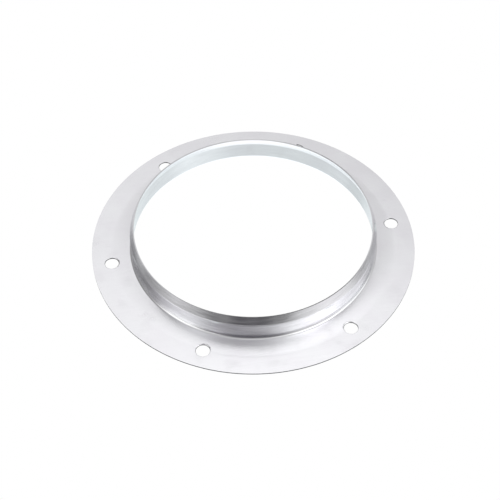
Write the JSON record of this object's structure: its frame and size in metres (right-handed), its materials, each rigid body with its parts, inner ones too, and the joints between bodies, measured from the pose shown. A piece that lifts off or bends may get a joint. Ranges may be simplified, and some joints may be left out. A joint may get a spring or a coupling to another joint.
{
  "type": "duct mounting flange",
  "caption": "Flat round sheet steel flange with bolt holes and a short upstanding collar whose rim leans inwards, for fixing a round duct or hose to a wall or casing.",
  "frame": {"origin": "centre of the ring's flat underside, on the duct's axis", "axes": "+Z along the duct's axis, from the ring towards the collar's rim, and +X through the centre of a bolt hole"},
  "size_m": [0.2, 0.2, 0.0191],
  "materials": {
    "galvanised_steel": "electro-galvanised sheet, satin"
  },
  "bodies": {
    "root": {"duct_flange": "galvanised_steel"}
  },
  "joints": []
}
